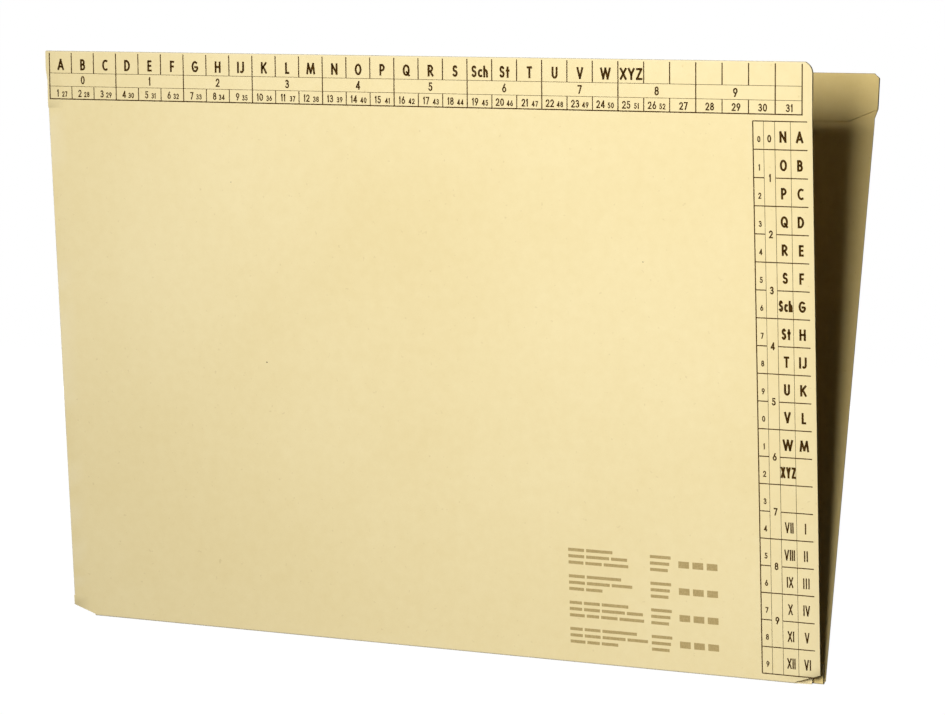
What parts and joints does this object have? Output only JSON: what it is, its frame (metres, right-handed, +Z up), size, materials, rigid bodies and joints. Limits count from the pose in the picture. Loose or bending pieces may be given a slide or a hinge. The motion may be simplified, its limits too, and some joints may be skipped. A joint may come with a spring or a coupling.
{
  "type": "expanding file folder",
  "caption": "Expanding manila card file folder, landscape A4, standing on its pleated bottom in a V, with turned-in top hems and a folding gusset at the left end.",
  "frame": {"origin": "middle of the surface that the folder stands on, under the centre of its outer box", "axes": "+X along the covers, towards the open end; +Y from the front cover to the back cover; +Z up"},
  "size_m": [0.3174, 0.0676, 0.2214],
  "materials": {
    "manila_card": "uncoated manila card, matt with a slight sheen, fine printed index in dark brown ink"
  },
  "bodies": {
    "root": {"folder_card": "manila_card"}
  },
  "joints": []
}
